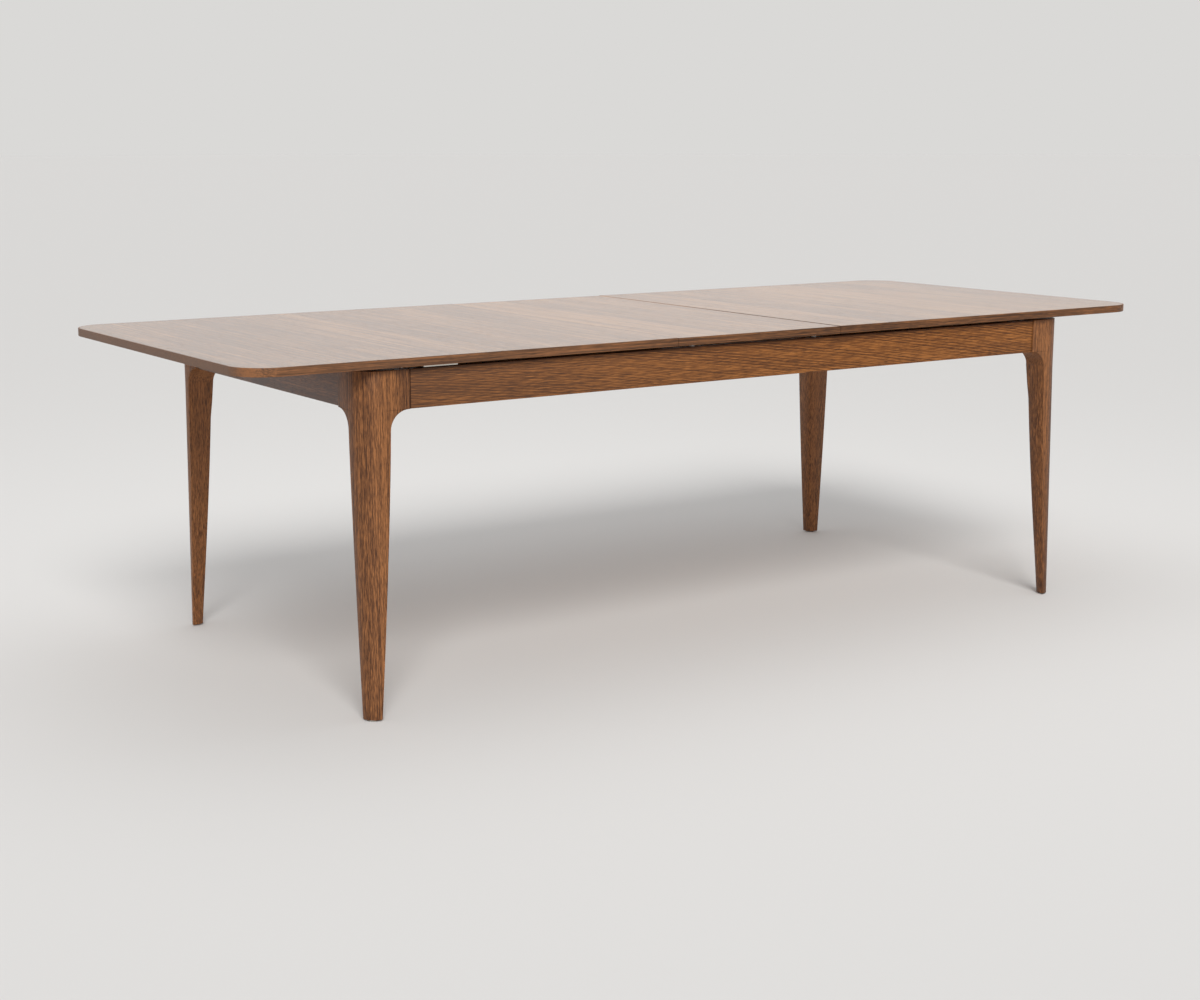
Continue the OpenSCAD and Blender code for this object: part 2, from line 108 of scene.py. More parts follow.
def settle(piece):
    """Puts a piece's place, turn and size into its mesh."""
    take(piece)
    bpy.ops.object.transform_apply(location=True, rotation=True, scale=True)


def block(name, low, high):
    """A squared piece between two corners, ready to be shaped."""
    put_down()
    bpy.ops.mesh.primitive_cube_add(size=1, location=(low + high) / 2, scale=high - low)
    piece = bpy.context.object
    piece.name = name
    settle(piece)
    return piece


def ease(piece, wanted, width, segments=1, clamp=False):
    """Takes off the edges that pass the test: flat with one segment, rounded with more.

    clamp stops the cuts before they meet.
    """
    take(piece)
    bpy.ops.object.mode_set(mode="EDIT")
    bpy.ops.mesh.select_mode(type="EDGE")
    bpy.ops.mesh.select_all(action="DESELECT")
    mesh = bmesh.from_edit_mesh(piece.data)
    for edge in mesh.edges:
        if wanted(edge):
            edge.select_set(True)
    mesh.select_flush_mode()
    bmesh.update_edit_mesh(piece.data)
    bpy.ops.mesh.bevel(offset=width, segments=segments, affect="EDGES", clamp_overlap=clamp)
    put_down()


def is_level(edge):
    """Whether the two ends of an edge are equally high."""
    a, b = (vert.co for vert in edge.verts)
    return abs(a.z - b.z) < SAME


def lies_at(edge, axis, place):
    """Whether the whole of an edge is at this place on an axis."""
    return all(abs(getattr(vert.co, axis) - place) < SAME for vert in edge.verts)


def arris_at(axis, *places):
    """A test for the level edges that lie at one of these places on an axis."""
    return lambda edge: is_level(edge) and any(lies_at(edge, axis, place) for place in places)


def long_and_sharp(edge):
    """A test for the edges of a board, which leaves out those of its small holes."""
    is_long = edge.calc_length() >= LONG_EDGE
    return is_long and edge.calc_face_angle(0) > math.radians(SHARP_EDGE)


def apply_all(piece):
    """Applies every modifier of a piece."""
    take(piece)
    for modifier in list(piece.modifiers):
        bpy.ops.object.modifier_apply(modifier=modifier.name)


def soften(piece, width, segments=2, angle=35):
    """Eases every edge of a piece that is sharper than this angle."""
    bevel = piece.modifiers.new("arris", "BEVEL")
    bevel.width = width
    bevel.segments = segments
    bevel.limit_method = "ANGLE"
    bevel.angle_limit = math.radians(angle)
    apply_all(piece)


def smooth(piece, angle=32):
    """Shades a piece smooth, apart from edges that are sharper than this angle."""
    take(piece)
    bpy.ops.object.shade_smooth_by_angle(angle=math.radians(angle))


def cut_away(piece, cutter):
    """Cuts one piece with another, which is used up."""
    cut = piece.modifiers.new("cut", "BOOLEAN")
    cut.operation = "DIFFERENCE"
    cut.solver = "EXACT"
    cut.object = cutter
    apply_all(piece)
    bpy.data.objects.remove(cutter)


def copied(piece, name):
    """A copy of a piece, with its own mesh."""
    take(piece)
    bpy.ops.object.duplicate()
    copy = bpy.context.object
    copy.name = name
    return copy


def mirrored_copy(piece, name, flip):
    """A copy on the other side of the table's middle. flip has a -1 for each axis it crosses."""
    copy = copied(piece, name)
    copy.scale = flip
    settle(copy)
    open_whole(copy)
    bpy.ops.mesh.normals_make_consistent(inside=False)
    put_down()
    return copy


def worked_copy(node, width):
    """A copy of a CAD node with its long sharp edges eased. Bores stay as they are."""
    copy = copied(nodes[node], node + "_wood")
    # It isn't a CAD node any more, so it leaves the node's body and drops its labels.
    copy.parent = None
    for key in list(copy.keys()):
        del copy[key]
    open_whole(copy)
    bpy.ops.mesh.remove_doubles(threshold=MERGE)
    bpy.ops.mesh.dissolve_limited(angle_limit=math.radians(1))
    ease(copy, long_and_sharp, width, segments=2, clamp=True)
    smooth(copy)
    return copy


def dress(piece, material):
    """Gives a piece or a CAD node one material all over."""
    if piece.material_slots:
        for place in piece.material_slots:
            place.material = material
    else:
        piece.data.materials.append(material)


def hand_over(piece, material, body, slot, *replaced):
    """Dresses a finished piece and hangs it on its body, in place of its CAD nodes."""
    dress(piece, material)
    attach(piece, body)
    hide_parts(*replaced)


# ---------------------------------------------------------------- shader nodes

def arithmetic(operation):
    """The plain and the reflected operator for one Math operation."""
    def plain(strand, other):
        return strand.math(operation, strand, other)

    def reflected(strand, other):
        return strand.math(operation, other, strand)

    return plain, reflected


class Strand:
    """One output of a shader node. Sums on values add Math nodes."""

    __add__, __radd__ = arithmetic("ADD")
    __sub__, __rsub__ = arithmetic("SUBTRACT")
    __mul__, __rmul__ = arithmetic("MULTIPLY")
    __truediv__, __rtruediv__ = arithmetic("DIVIDE")

    def __init__(self, tree, socket=None):
        self.tree = tree
        self.socket = socket

    def add(self, kind, settings=None, inputs=None, output=0):
        """Adds a node: its settings first, then the values or links of its inputs."""
        node = self.tree.nodes.new(kind)
        for name, value in (settings or {}).items():
            if name == "stops":
                ramp = node.color_ramp
                while len(ramp.elements) < len(value):
                    ramp.elements.new(0.5)
                for stop, (place, colour) in zip(ramp.elements, value):
                    stop.position = place
                    stop.color = (*colour, 1)
            else:
                setattr(node, name, value)
        for name, value in (inputs or {}).items():
            if isinstance(value, Strand):
                self.tree.links.new(value.socket, node.inputs[name])
            else:
                node.inputs[name].default_value = value
        return Strand(self.tree, node.outputs[output])

    def math(self, operation, *values):
        """A Math node on these values, or on this value alone."""
        inputs = dict(enumerate(values or [self]))
        return self.add("ShaderNodeMath", {"operation": operation}, inputs)

    def absolute(self):
        """The value without its sign."""
        return self.math("ABSOLUTE")

    def clamp(self):
        """The value kept between 0 and 1."""
        return self.add("ShaderNodeClamp", inputs={"Value": self})

    def swing(self, reach):
        """A value from 0 to 1 as one that swings about 0."""
        return (self - 0.5) * reach

    def between(self, low, high):
        """0 below low, 1 above high, smooth between."""
        return self.add(
            "ShaderNodeMapRange",
            {"interpolation_type": "SMOOTHSTEP"},
            {"Value": self, "From Min": low, "From Max": high},
        )

    def noise(self, scale, detail=2.0, roughness=0.5):
        """Noise at a point, about 0 to 1."""
        return self.add("ShaderNodeTexNoise", inputs={
            "Vector": self, "Scale": scale, "Detail": detail, "Roughness": roughness})

    def random(self):
        """A fixed random number for each whole value."""
        return self.add("ShaderNodeTexWhiteNoise", {"noise_dimensions": "1D"}, {"W": self})

    def mix(self, first, second):
        """Goes from the first colour to the second as this value goes from 0 to 1."""
        first, second = (
            colour if isinstance(colour, Strand) else (*colour, 1) for colour in (first, second))
        # A Mix node's inputs 6 and 7 are its colours, and output 2 is the one they make.
        return self.add(
            "ShaderNodeMix", {"data_type": "RGBA"}, {"Factor": self, 6: first, 7: second}, 2)

    def colours(self, *stops):
        """The colour that this value has on a ramp."""
        return self.add("ShaderNodeValToRGB", {"stops": stops}, {"Fac": self})


class Finish:
    """A new material with one principled surface."""

    def __init__(self, name, **constants):
        self.material = bpy.data.materials.new(name)
        self.material.use_nodes = True
        self.tree = self.material.node_tree
        self.surface = self.tree.nodes["Principled BSDF"]
        for socket, value in constants.items():
            self.surface.inputs[socket.replace("_", " ")].default_value = value
        self.place = Strand(self.tree).add("ShaderNodeTexCoord", output="Object")

    def axes(self):
        """X, Y and Z of the point, as three values."""
        node = self.place.add("ShaderNodeSeparateXYZ", inputs={0: self.place}).socket.node
        return [Strand(self.tree, output) for output in node.outputs]

    def point(self, x, y, z):
        """Three values as a point."""
        return self.place.add("ShaderNodeCombineXYZ", inputs={0: x, 1: y, 2: z})

    def bump(self, height, depth):
        """The surface's direction on a relief, depth metres deep from 0 to 1."""
        return height.add(
            "ShaderNodeBump", inputs={"Height": height, "Distance": depth}, output="Normal")

    def drive(self, **strands):
        """Links strands to the surface's sockets. The material is then finished."""
        for socket, strand in strands.items():
            self.tree.links.new(strand.socket, self.surface.inputs[socket.replace("_", " ")])
        return self.material


def linear(*rgb):
    """An 8-bit colour as the linear one that a shader takes."""
    return tuple((c / 255 / 12.92) if c <= 10 else ((c / 255 + 0.055) / 1.055) ** 2.4 for c in rgb)


# ---------------------------------------------------------------- wood

# Each palette holds the pale, the middle and the dark tone of one wood.
WARM = linear(168, 108, 53), linear(130, 79, 35), linear(80, 45, 19)
RUSSET = linear(160, 106, 68), linear(124, 80, 50), linear(76, 45, 28)
CHESTNUT = linear(160, 105, 61), linear(124, 79, 45), linear(76, 45, 25)
DUSKY = linear(152, 100, 60), linear(114, 74, 43), linear(69, 43, 25)
# The top's veneer is paler than the other walnut, partly as a painted reflection of the pale
# surroundings in its lacquer.
PALE_TOP_AND_SHEEN = linear(192, 138, 84), linear(161, 110, 62), linear(120, 77, 42)
PLAIN = linear(206, 172, 130), linear(184, 147, 104), linear(150, 113, 76)
# The colour of dark joints, and of painted shade in the seams and at the aprons' joints with the
# legs.
DARK_JOINT_AND_SHADE = linear(52, 32, 20)
# The grey of a painted sheen on the top's edges and of painted shade on the aprons' left ends,
# along with their own duller tone.
GREY_SHEEN_SHADE_AND_TONE = linear(98, 78, 66)


def stained_wood(name, grain, palette, heart, tilt, ring=0.0045, board=0.0, base=0.53,
                 figure=1.0, rings=0.32, wander=1.0, fibre=1.6, speck=1.8, dash=50.0,
                 fine=1.0, pore=1.0, coat=0.05, veil=0.32, gloss=0.45, sheen=0.3,
                 seed=0.0, shift=None, greyed_by_light_and_tone=None, dark_joints_and_shade=None):
    """Open-grain wood with growth rings, fibre, pores and a satin lacquer.

    The board: grain is the axis that the fibres run along, heart the place of the
    tree's heart across that axis, and ring the width of a growth ring. tilt lets the
    rings run out of the board along its length, and wander says how freely they
    meander. board is the width of the veneer leaves, or 0 for solid wood. seed sets
    one board apart from the next.

    Its tone: base is the plain wood's, from 0 for dark to 1 for pale. figure, rings,
    fibre, speck and pore say how strongly the broad grain, the growth rings, the long
    threads, the short flecks and the pores show. dash is how many flecks there are to
    a metre of length, and fine makes the threads and flecks that much narrower.

    Its surface: gloss is the roughness of the wood and sheen its specular level. coat
    is the weight of the lacquer and veil its roughness.

    Its places: shift is added to the tone from place to place, as the wood's own tone and as
    painted light and shade. The next function says where the wood is greyer and less red, through
    painted sheen and shade as well as its tone, and the last where joints are dark and where
    painted shade lies along the seams and the apron joints.
    """
    wood = Finish(name, Coat_Roughness=veil, Specular_IOR_Level=sheen)
    pale, middle, dark = palette
    x, y, z = wood.axes()
    along, side, up = {"X": (x, y, z), "Y": (y, x, z), "Z": (z, x, y)}[grain]
    across = side
    if board:
        # The leaves are counted so that number 100 lies over the middle of the table.
        count = side / board + 100.5
        chance = (count.math("FLOOR") + seed).random()
        along = along + chance * 7.0
        across = count.math("FRACT") * board + chance * 0.4
        up = up + chance * 0.03

    def marks(lengthwise, crosswise, roughness=0.5, detail=2.0, start=(0.0, 0.0, 0.0)):
        """Noise with this many marks to a metre, along the grain and across it."""
        drawn = wood.point(along * lengthwise, side * crosswise, up * crosswise)
        moved = drawn.add("ShaderNodeVectorMath", {"operation": "ADD"}, {0: drawn, 1: start})
        return moved.noise(1.0, detail, roughness)

    drift = marks(1.1, 3.5, start=(seed, 0.0, 0.0))
    sway = marks(4.0, 18.0, start=(0.0, seed, 0.0))
    cloud = marks(1.6, 7.0, start=(0.0, 0.0, seed))
    streak = marks(1.0, 90.0, roughness=0.55)
    thread = marks(3.0, 420.0 * fine, roughness=0.6, start=(seed, 0.0, 0.0))
    fleck = marks(dash, 640.0 * fine, roughness=0.6)
    pits = marks(30.0 + dash * 0.7, 1000.0, roughness=0.4, detail=1.0, start=(0.0, 0.0, seed))

    # Age counts the rings out from the heart. Each ring darkens towards its late wood, some
    # more than others.
    aside = across - heart[0] + along * tilt + drift.swing(0.04 * wander) + sway.swing(0.005)
    above = up - heart[1] + drift.swing(0.03 * wander)
    age = (aside * aside + above * above).math("SQRT") / ring
    season = age.math("FRACT")
    late = season.between(0.45, 0.92) * (1.0 - season.between(0.93, 1.0))
    weight = age.math("FLOOR").random() * 0.8 + 0.2
    pores = pits.between(0.56, 0.68) * (1.0 - late * 0.6) * pore

    tone = base + streak.swing(0.5 * figure) + thread.swing(fibre) + fleck.swing(speck)
    tone = tone + cloud.swing(0.6 * figure) - late * weight * rings
    if board:
        tone = tone + chance.swing(0.30)
    if shift:
        tone = tone + shift(x, y, z)
    colour = tone.colours((0.08, dark), (0.50, middle), (0.94, pale))
    colour = (pores * 0.6).mix(colour, [c * 0.3 for c in dark])
    roughness = gloss + fleck.swing(0.15) + pores * 0.12
    lacquer = coat - pores * coat * 0.5 - (0.5 - thread) * coat * 0.6
    # Greyer, less red wood: painted sheen and shade, and partly the wood's own tone.
    if greyed_by_light_and_tone:
        colour = greyed_by_light_and_tone(x, y, z).mix(colour, GREY_SHEEN_SHADE_AND_TONE)
    # Dark joints, and painted shade along seams and joints, darken the colour and dull the
    # lacquer.
    if dark_joints_and_shade:
        joint_and_shade_mask = dark_joints_and_shade(x, y, z)
        colour = joint_and_shade_mask.mix(colour, DARK_JOINT_AND_SHADE)
        roughness = roughness + joint_and_shade_mask * 0.6
        lacquer = lacquer * (1.0 - joint_and_shade_mask)
    relief = thread * 0.5 + fleck * 0.3 - pores - late * 0.15
    return wood.drive(
        Base_Color=colour,
        Roughness=roughness.clamp(),
        Coat_Weight=lacquer.clamp(),
        Normal=wood.bump(relief, depth=0.0001),
    )


def staves_and_painted_light(x, y, z):
    """A leg is glued up from staves: a pale core, a darker face and a darker tip to its ear.

    Each leg is also painted lighter or darker for how it is lit. A line along the diagonal parts
    the half next to the table's end from the half next to its long side. The front right leg
    carries painted shade, less at its top and away from its end. The back right one is painted
    lighter, most in its end half, which is partly a paler stave, and the back left one all over.
    Low down, the front left one is painted a little lighter in its side half and a little darker
    in its end half.
    """
    from_end = FRAME_HALF_LEN - x.absolute()
    from_side = FRAME_HALF_W - y.absolute()
    side_half = (from_end - from_side).between(-0.0003, 0.0003)
    # Each of these is 1 in one leg and 0 in the other three.
    front_right, back_right, back_left = (
        corner.between(0.9, 1.1) for corner in (x - y, x + y, y - x))
    front_left = 1.0 - front_right - back_right - back_left

    ear_tip = from_end.between(0.0865, 0.0870) * (front_right - 1.0) * 0.20
    core = (from_end + z * 0.0174).between(0.0334, 0.0338) * 0.14
    away_from_end = (from_end - z * 0.05).between(0.004, 0.024)
    # Painted shade on the front right leg.
    front_right_shade = 0.24 - z.between(0.55, 0.64) * 0.08 - away_from_end * 0.16
    low_down = 1.0 - z.between(0.15, 0.45)
    # Painted light and shade, leg by leg, for how each is lit; the back right leg's is partly a
    # paler stave too.
    light_and_shade_by_leg = (
        back_right * (0.20 - side_half * 0.16)
        + back_left * 0.16
        + front_left * low_down * (side_half * 0.10 - 0.04)
        - front_right * front_right_shade
    )
    return ear_tip + core + light_and_shade_by_leg + z.between(0.0, 0.4) * 0.07


def edge_tone_and_highlight(x, y, z):
    """The edge strips are darker along the table's long sides than round its ends, and a painted
    highlight lightens their rounded corners.

    They darken towards the right, and the leaf's are a little paler than the right half's.
    """
    from_end = x.absolute() - TOP_HALF_LEN
    from_side = y.absolute() - TOP_HALF_W
    # The rounded corners carry a painted highlight.
    corner = from_end.between(-0.055, -0.020) * from_side.between(-0.075, -0.035)
    long_edge = from_side.between(-0.020, -0.002) * (1.0 - corner * 0.5)
    right_half = (x - SEAM_X).between(-0.0001, 0.0001)
    return corner * 0.18 - long_edge * 0.26 - x * 0.08 - right_half * 0.02


def panel_by_panel(x, y, z):
    """The table's leaf is a little paler than its halves, and the left half is the dullest."""
    halves = (x.absolute() - SEAM_X).between(-0.0001, 0.0001)
    return x.between(-TOP_HALF_LEN, -0.35) * 0.26 + x.between(0.30, 1.00) * 0.05 - halves * 0.06


def seam_shade(x, y, z):
    """Painted shade along the upper arrises of the two seams, less towards the back."""
    from_seam = x.absolute() - SEAM_X
    beside = from_seam.between(-0.0016, -0.0008) - from_seam.between(0.0010, 0.0018)
    near_top = (z - TOP_Z).between(-0.0030, -0.0022)
    return beside * near_top * (1.0 - y.between(-0.25, 0.45) * 0.85)


def butt_joint(x, y, z):
    """A dark line down the edge of the top where two panels meet."""
    from_seam = x.absolute() - SEAM_X
    return (from_seam.between(-0.0012, -0.0006) - from_seam.between(0.0006, 0.0012)) * 0.6


def painted_sheen_on_edges(x, y, z):
    """Painted grey sheen on the top's edges: the ends are greyer than the long edges, which are
    greyer on the left.
    """
    at_end = (x.absolute() - TOP_HALF_LEN).between(-0.030, -0.002)
    at_side = (y.absolute() - TOP_HALF_W).between(-0.080, -0.010)
    return at_end * (1.0 - at_side) * 0.7 + at_side * (1.0 - x.between(-1.0, 0.4)) * 0.22


def apron_tone_and_shade(x, y, z):
    """A long apron is one board. Its left end is darker, partly as the board's tone and partly as
    painted shade, and its upper edge carries a painted shadow of the top's overhang.
    """
    overhang_shadow = (z - APRON_TOP).between(-0.006, -0.001)
    return x.between(-0.9, 0.1) * 0.19 - overhang_shadow * 0.4


def less_red_and_shaded(x, y, z):
    """A long apron is greyer and less red towards its left end, partly as the board's tone and
    partly as painted shade.
    """
    return 0.30 - x.between(-0.9, 0.6) * 0.30


def joint_line_and_shade(x, y, z):
    """A dark line at each end of a long apron, where it meets the leg: partly a dark joint and
    partly a painted shadow of the leg's step, so it is stronger at the left end.
    """
    at_left = (-APRON_HALF_LEN - x).between(-0.0040, -0.0030)
    at_right = (x - APRON_HALF_LEN).between(-0.0040, -0.0030)
    return at_left * 0.9 + at_right * 0.35


top_wood = stained_wood(
    "walnut_veneer", "Y", PALE_TOP_AND_SHEEN, heart=(0.7, -0.1), tilt=0.004, ring=0.009, board=0.155,
    base=0.33, figure=1.9, rings=0.55, fibre=2.9, speck=2.2, dash=14.0, coat=1.0, veil=0.17,
    gloss=0.34, sheen=0.5, seed=3.0, shift=panel_by_panel, dark_joints_and_shade=seam_shade)
edge_wood = stained_wood(
    "walnut_edge", "X", DUSKY, heart=(0.1, 0.3), tilt=0.01, base=0.71, figure=0.75,
    fibre=2.2, speck=1.6, dash=22.0, coat=0.03, sheen=0.24, seed=11.0, shift=edge_tone_and_highlight,
    greyed_by_light_and_tone=painted_sheen_on_edges, dark_joints_and_shade=butt_joint)
leg_wood = stained_wood(
    "walnut_leg", "Z", CHESTNUT, heart=(0.3, 0.2), tilt=0.01, ring=0.0035, base=0.34,
    figure=0.5, rings=0.25, fibre=2.4, speck=2.6, fine=1.6, coat=0.03, sheen=0.28,
    seed=21.0, shift=staves_and_painted_light)
apron_wood = stained_wood(
    "walnut_apron", "X", WARM, heart=(0.0, 0.17), tilt=-0.14, ring=0.0046, base=0.38,
    figure=0.9, rings=0.70, wander=0.7, fibre=1.2, speck=2.2, dash=24.0, sheen=0.18,
    seed=31.0, shift=apron_tone_and_shade, greyed_by_light_and_tone=less_red_and_shaded, dark_joints_and_shade=joint_line_and_shade)
# The end aprons' wood is painted darker all over, as painted shade.
shaded_end_apron_wood = stained_wood(
    "walnut_end_apron_painted_shade", "Y", RUSSET, heart=(-0.2, 0.66), tilt=0.012, ring=0.006, base=0.21,
    fibre=1.2, speck=1.3, coat=0.12, sheen=0.45, seed=41.0)

inner_wood = {"heart": (0.1, 0.9), "tilt": 0.01, "fibre": 1.2, "speck": 1.0, "pore": 0.4,
              "coat": 0.0, "gloss": 0.55}
inner_wood_x = stained_wood("beech_along", "X", PLAIN, seed=51.0, **inner_wood)
inner_wood_y = stained_wood("beech_across", "Y", PLAIN, seed=61.0, **inner_wood)


# ---------------------------------------------------------------- metal and nylon

def plated_steel(name):
    """Zinc-plated steel, dull and a little mottled."""
    metal = Finish(name, Metallic=1.0)
    fine = metal.place.noise(900.0, 3.0)
    broad = metal.place.noise(60.0)
    tone = 0.5 + broad.swing(0.8) + fine.swing(0.3)
    return metal.drive(
        Base_Color=tone.colours((0.2, linear(150, 150, 152)), (0.8, linear(205, 205, 203))),
        Roughness=(0.32 + fine.swing(0.2) + broad.swing(0.15)).clamp(),
        Normal=metal.bump(fine, depth=0.00002),
    )


def drawn_aluminium(name):
    """Aluminium strip with fine lines along its length."""
    metal = Finish(name, Metallic=1.0)
    x, y, z = metal.axes()
    lines = metal.point(x * 12.0, y * 1500.0, z * 1500.0).noise(1.0)
    broad = metal.place.noise(40.0)
    tone = 0.5 + lines.swing(0.6) + broad.swing(0.4)
    return metal.drive(
        Base_Color=tone.colours((0.2, linear(186, 180, 172)), (0.8, linear(226, 220, 212))),
        Roughness=(0.36 + lines.swing(0.15)).clamp(),
        Normal=metal.bump(lines, depth=0.00003),
    )


def moulded_nylon(name, shade):
    """Moulded nylon with a very fine grain."""
    plastic = Finish(name, Specular_IOR_Level=0.45)
    grainy = plastic.place.noise(1600.0)
    broad = plastic.place.noise(80.0)
    tone = 0.5 + broad.swing(0.5)
    return plastic.drive(
        Base_Color=tone.colours((0.2, [c * 0.85 for c in shade]), (0.8, shade)),
        Roughness=(0.5 + grainy.swing(0.15)).clamp(),
        Normal=plastic.bump(grainy, depth=0.00002),
    )


steel = plated_steel("zinc_plated_steel")
aluminium = drawn_aluminium("drawn_aluminium")
nylon = moulded_nylon("grey_nylon", linear(150, 146, 140))


# ---------------------------------------------------------------- legs

LEG_TOP_W = 0.063       # width of a leg just under its ears
LEG_FOOT_W = 0.030
TAPER = 1.27            # over 1, a leg narrows faster towards its foot
OUTER_R_TOP = 0.052     # radius of a leg's outer corner
OUTER_R_FOOT = 0.028
INNER_R = 0.016         # radius of its inner corner, reached INNER_RUN below the ears
INNER_R_LEAST = 0.003   # the same just under the ears
INNER_RUN = 0.080
LEAST_FLAT = 0.001      # what is left flat beside a rounded corner
ROUND_DIP = 0.293       # how far a round lies in from its corner at the middle, in radii
EAR_R = 0.042           # radius of the hollow curve under an ear
EAR_LEN = 0.044         # how far an ear reaches beyond the leg
SHAFT_STEPS = 14
EAR_STEPS = 10
ARC_POINTS = 13
PLAIN_POINTS = 5        # the points of an outline that aren't on the outer arc


def leg_rings(foot_z, shaft_z, apron_z, top_z):
    """Sizes of the leg at each level: z, width, ear length, outer and inner corner radius."""
    rings = []
    for i in range(SHAFT_STEPS + 1):
        z = foot_z + (shaft_z - foot_z) * (i / SHAFT_STEPS)
        drop = (shaft_z - z) / (shaft_z - foot_z)
        width = LEG_TOP_W - (LEG_TOP_W - LEG_FOOT_W) * drop ** TAPER
        outer = min(width - LEAST_FLAT, OUTER_R_TOP - (OUTER_R_TOP - OUTER_R_FOOT) * drop)
        inner = min(INNER_R * min(1, (shaft_z - z) / INNER_RUN), width / 2 - LEAST_FLAT)
        rings.append((z, width, 0.0, outer, max(inner, INNER_R_LEAST)))
    for i in range(1, EAR_STEPS + 1):
        turn = math.radians(90 / EAR_STEPS * i)
        rings.append((
            shaft_z + EAR_R * math.sin(turn), LEG_TOP_W, EAR_R * (1 - math.cos(turn)),
            OUTER_R_TOP, INNER_R_LEAST * (1 - i / EAR_STEPS),
        ))
    for z in (apron_z, top_z):
        rings.append((z, LEG_TOP_W, EAR_LEN, OUTER_R_TOP, 0.0))
    return rings


def leg_outline(width, ear, outer, inner):
    """One level of the leg, seen from its outer corner: the outer arc and the inner points."""
    arc = [
        (outer - outer * math.sin(t), outer - outer * math.cos(t))
        for t in (math.radians(90) * (1 - i / (ARC_POINTS - 1)) for i in range(ARC_POINTS))
    ]
    dip = inner * ROUND_DIP
    return arc + [
        (width + ear, 0.0),
        (width + ear, width - inner),
        (width - dip, width - dip),
        (width - inner, width + ear),
        (0.0, width + ear),
    ]


def number_points(leg):
    """Numbers the points of the open leg, which is one ring so far."""
    mesh = bmesh.from_edit_mesh(leg.data)
    number = mesh.verts.layers.int.new("number")
    for i, vert in enumerate(mesh.verts):
        vert[number] = i
    bmesh.update_edit_mesh(leg.data)


def place_ring(leg, corner, z, outline):
    """Moves each selected point of the open leg to the place of its number."""
    mesh = bmesh.from_edit_mesh(leg.data)
    number = mesh.verts.layers.int["number"]
    for vert in mesh.verts:
        if vert.select:
            u, v = outline[vert[number]]
            vert.co = (corner.x + u, corner.y + v, z)
    bmesh.update_edit_mesh(leg.data)


def shape_leg():
    """The front left leg, drawn up ring by ring from the foot."""
    corner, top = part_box("front_left_leg")
    apron_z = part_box("front_apron")[0].z
    rings = leg_rings(corner.z, apron_z - EAR_R, apron_z, top.z)
    put_down()
    bpy.ops.mesh.primitive_circle_add(
        vertices=ARC_POINTS + PLAIN_POINTS, radius=LEG_FOOT_W / 2, fill_type="NGON",
        location=corner)
    leg = bpy.context.object
    leg.name = "leg_front_left"
    settle(leg)
    open_whole(leg)
    number_points(leg)
    for below, (z, *sizes) in zip([None] + rings, rings):
        if below:
            bpy.ops.mesh.extrude_region_move(
                TRANSFORM_OT_translate={"value": (0, 0, z - below[0])})
        place_ring(leg, corner, z, leg_outline(*sizes))
    bpy.ops.mesh.select_all(action="SELECT")
    bpy.ops.mesh.remove_doubles(threshold=MERGE)
    bpy.ops.mesh.normals_make_consistent(inside=False)
    put_down()
    soften(leg, ARRIS, angle=38)
    open_whole(leg)
    bpy.ops.mesh.dissolve_degenerate(threshold=MERGE)
    put_down()
    return leg


legs = {"front_left": shape_leg()}
for name, flip in (
    ("front_right", (-1, 1, 1)), ("back_left", (1, -1, 1)), ("back_right", (-1, -1, 1)),
):
    legs[name] = mirrored_copy(legs["front_left"], "leg_" + name, flip)
for name, leg in legs.items():
    smooth(leg, angle=34)
    hand_over(leg, leg_wood, "frame", "leg_wood", name + "_leg")


# ---------------------------------------------------------------- aprons and inner woodwork

for node, material in (
    ("front_apron", apron_wood), ("back_apron", apron_wood),
    ("left_apron", shaded_end_apron_wood), ("right_apron", shaded_end_apron_wood),
):
    apron = worked_copy(node, ARRIS)
    hand_over(apron, material, "frame", "apron_wood", node)

for node, body, material in (
    ("front_left_brace", "frame", inner_wood_x), ("front_right_brace", "frame", inner_wood_x),
    ("back_left_brace", "frame", inner_wood_x), ("back_right_brace", "frame", inner_wood_x),
    ("front_guide_rail", "frame", inner_wood_x), ("back_guide_rail", "frame", inner_wood_x),
    ("left_cross_rail", "frame", inner_wood_y), ("right_cross_rail", "frame", inner_wood_y),
    ("left_front_runner", "left_top", inner_wood_x),
    ("left_back_runner", "left_top", inner_wood_x),
    ("right_front_runner", "right_top", inner_wood_x),
    ("right_back_runner", "right_top", inner_wood_x),
    ("left_batten", "left_top", inner_wood_y), ("right_batten", "right_top", inner_wood_y),
    ("leaf_front_batten", "leaf", inner_wood_x), ("leaf_back_batten", "leaf", inner_wood_x),
):
    piece = worked_copy(node, FINE_ARRIS)
    hand_over(piece, material, body, "inner_wood", node)


# ---------------------------------------------------------------- tops

CORNER_R = 0.080        # radius of the table's corners, seen from above
CORNER_STEPS = 20
LIPPING = 0.003         # thickness of the solid edge strips
ROUND_OVER = 0.0010     # radius of their arrises
SEAM_EASE = 0.0008      # width of the chamfers along the seams
LEAF_SET = 0.0006       # how far the leaf lies below the halves
OVERCUT = 0.01          # how far a cutter reaches past the piece that it cuts


def rounded_half(name, low, high, side, radius):
    """A board with its two outer corners rounded; side is the way its outer end points."""
    board = block(name, low, high)
    end_x = high.x if side > 0 else low.x

    def outer_corner(edge):
        """A test for the two upright edges of the outer end."""
        return lies_at(edge, "x", end_x) and not is_level(edge)

    ease(board, outer_corner, radius, CORNER_STEPS)
    return board


